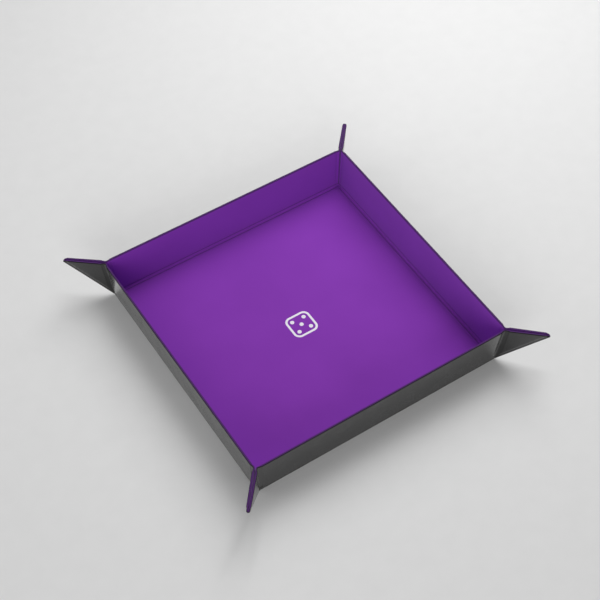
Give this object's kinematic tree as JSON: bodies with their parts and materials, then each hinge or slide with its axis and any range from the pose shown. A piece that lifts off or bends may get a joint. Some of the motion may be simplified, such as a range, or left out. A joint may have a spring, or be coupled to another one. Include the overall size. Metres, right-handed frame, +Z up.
{
  "type": "folding dice tray",
  "caption": "Square tray for rolling dice, whose lined walls fold flat from the floor and join at the corners in triangular ears held shut by hidden magnets.",
  "frame": {"origin": "centre of the underside, on the surface that the tray stands on", "axes": "+Z up; X and Y square to the walls, with the front wall at -Y; each shut ear points 4.5 degrees to the left of its diagonal, seen from inside the tray"},
  "size_m": [0.3034, 0.3034, 0.0438],
  "materials": {
    "cover": "satin black leather-look, fine grain",
    "lining": "short-pile purple microfibre",
    "board": "grey pressed board",
    "magnet": "nickel plated",
    "floor_print": "thin matt white ink"
  },
  "bodies": {
    "floor_panel": {"floor_cover": "cover", "floor_board": "board", "floor_lining": "lining", "centre_print": "floor_print"},
    "wall_front": {"wall_front_cover": "cover", "wall_front_board": "board", "wall_front_lining": "lining", "wall_front_base_fold": "cover", "wall_front_end_folds": "cover"},
    "wall_right": {"wall_right_cover": "cover", "wall_right_board": "board", "wall_right_lining": "lining", "wall_right_base_fold": "cover", "wall_right_end_folds": "cover"},
    "wall_back": {"wall_back_cover": "cover", "wall_back_board": "board", "wall_back_lining": "lining", "wall_back_base_fold": "cover", "wall_back_end_folds": "cover"},
    "wall_left": {"wall_left_cover": "cover", "wall_left_board": "board", "wall_left_lining": "lining", "wall_left_base_fold": "cover", "wall_left_end_folds": "cover"},
    "ear_front_left": {"ear_front_left_cover": "cover", "ear_front_left_board": "board", "ear_front_left_lining": "lining", "ear_front_left_magnet": "magnet", "ear_front_left_lower_fold": "cover"},
    "ear_front_right": {"ear_front_right_cover": "cover", "ear_front_right_board": "board", "ear_front_right_lining": "lining", "ear_front_right_magnet": "magnet"},
    "ear_right_front": {"ear_right_front_cover": "cover", "ear_right_front_board": "board", "ear_right_front_lining": "lining", "ear_right_front_magnet": "magnet", "ear_right_front_lower_fold": "cover"},
    "ear_right_back": {"ear_right_back_cover": "cover", "ear_right_back_board": "board", "ear_right_back_lining": "lining", "ear_right_back_magnet": "magnet"},
    "ear_back_right": {"ear_back_right_cover": "cover", "ear_back_right_board": "board", "ear_back_right_lining": "lining", "ear_back_right_magnet": "magnet", "ear_back_right_lower_fold": "cover"},
    "ear_back_left": {"ear_back_left_cover": "cover", "ear_back_left_board": "board", "ear_back_left_lining": "lining", "ear_back_left_magnet": "magnet"},
    "ear_left_back": {"ear_left_back_cover": "cover", "ear_left_back_board": "board", "ear_left_back_lining": "lining", "ear_left_back_magnet": "magnet", "ear_left_back_lower_fold": "cover"},
    "ear_left_front": {"ear_left_front_cover": "cover", "ear_left_front_board": "board", "ear_left_front_lining": "lining", "ear_left_front_magnet": "magnet"}
  },
  "joints": [
    {"name": "front_wall_fold", "type": "hinge", "parent": "floor_panel", "child": "wall_front", "pos_m": [0, -0.12, 0.002], "axis": [1, 0, 0], "range_deg": [0, 85], "deforming": ["wall_front_base_fold"]},
    {"name": "right_wall_fold", "type": "hinge", "parent": "floor_panel", "child": "wall_right", "pos_m": [0.12, 0, 0.002], "axis": [0, 1, 0], "range_deg": [0, 85.1], "deforming": ["wall_right_base_fold"]},
    {"name": "back_wall_fold", "type": "hinge", "parent": "floor_panel", "child": "wall_back", "pos_m": [0, 0.12, 0.002], "axis": [-1, 0, 0], "range_deg": [0, 85.1], "deforming": ["wall_back_base_fold"]},
    {"name": "left_wall_fold", "type": "hinge", "parent": "floor_panel", "child": "wall_left", "pos_m": [-0.12, 0, 0.002], "axis": [0, -1, 0], "range_deg": [0, 85.1], "deforming": ["wall_left_base_fold"]},
    {"name": "front_left_ear_fold", "type": "hinge", "parent": "wall_front", "child": "ear_front_left", "pos_m": [-0.12, -0.12, 0.002], "axis": [0.0732, 0.0869, -0.9935], "range_deg": [0, 49.17], "deforming": ["ear_front_left_lower_fold", "wall_front_end_folds"]},
    {"name": "front_right_ear_fold", "type": "hinge", "parent": "wall_front", "child": "ear_front_right", "pos_m": [0.12, -0.12, 0.002], "axis": [0.0732, -0.0869, 0.9935], "range_deg": [0, 40.17], "deforming": ["wall_front_end_folds"]},
    {"name": "right_front_ear_fold", "type": "hinge", "parent": "wall_right", "child": "ear_right_front", "pos_m": [0.12, -0.12, 0.002], "axis": [-0.0869, 0.0732, -0.9935], "range_deg": [0, 49.17], "deforming": ["ear_right_front_lower_fold", "wall_right_end_folds"]},
    {"name": "right_back_ear_fold", "type": "hinge", "parent": "wall_right", "child": "ear_right_back", "pos_m": [0.12, 0.12, 0.002], "axis": [0.0869, 0.0732, 0.9935], "range_deg": [0, 40.17], "deforming": ["wall_right_end_folds"]},
    {"name": "back_right_ear_fold", "type": "hinge", "parent": "wall_back", "child": "ear_back_right", "pos_m": [0.12, 0.12, 0.002], "axis": [-0.0732, -0.0869, -0.9935], "range_deg": [0, 49.17], "deforming": ["ear_back_right_lower_fold", "wall_back_end_folds"]},
    {"name": "back_left_ear_fold", "type": "hinge", "parent": "wall_back", "child": "ear_back_left", "pos_m": [-0.12, 0.12, 0.002], "axis": [-0.0732, 0.0869, 0.9935], "range_deg": [0, 40.17], "deforming": ["wall_back_end_folds"]},
    {"name": "left_back_ear_fold", "type": "hinge", "parent": "wall_left", "child": "ear_left_back", "pos_m": [-0.12, 0.12, 0.002], "axis": [0.0869, -0.0732, -0.9935], "range_deg": [0, 49.17], "deforming": ["ear_left_back_lower_fold", "wall_left_end_folds"]},
    {"name": "left_front_ear_fold", "type": "hinge", "parent": "wall_left", "child": "ear_left_front", "pos_m": [-0.12, -0.12, 0.002], "axis": [-0.0869, -0.0732, 0.9935], "range_deg": [0, 40.17], "deforming": ["wall_left_end_folds"]}
  ],
  "couplings": [
    {"joint": "right_wall_fold", "follows": "front_wall_fold", "ratio": 1},
    {"joint": "back_wall_fold", "follows": "front_wall_fold", "ratio": 1},
    {"joint": "left_wall_fold", "follows": "front_wall_fold", "ratio": 1},
    {"joint": "front_left_ear_fold", "follows": "front_wall_fold", "ratio": 0.57732},
    {"joint": "front_right_ear_fold", "follows": "front_wall_fold", "ratio": 0.47144},
    {"joint": "right_front_ear_fold", "follows": "front_wall_fold", "ratio": 0.57732},
    {"joint": "right_back_ear_fold", "follows": "front_wall_fold", "ratio": 0.47144},
    {"joint": "back_right_ear_fold", "follows": "front_wall_fold", "ratio": 0.57732},
    {"joint": "back_left_ear_fold", "follows": "front_wall_fold", "ratio": 0.47144},
    {"joint": "left_back_ear_fold", "follows": "front_wall_fold", "ratio": 0.57732},
    {"joint": "left_front_ear_fold", "follows": "front_wall_fold", "ratio": 0.47144}
  ]
}
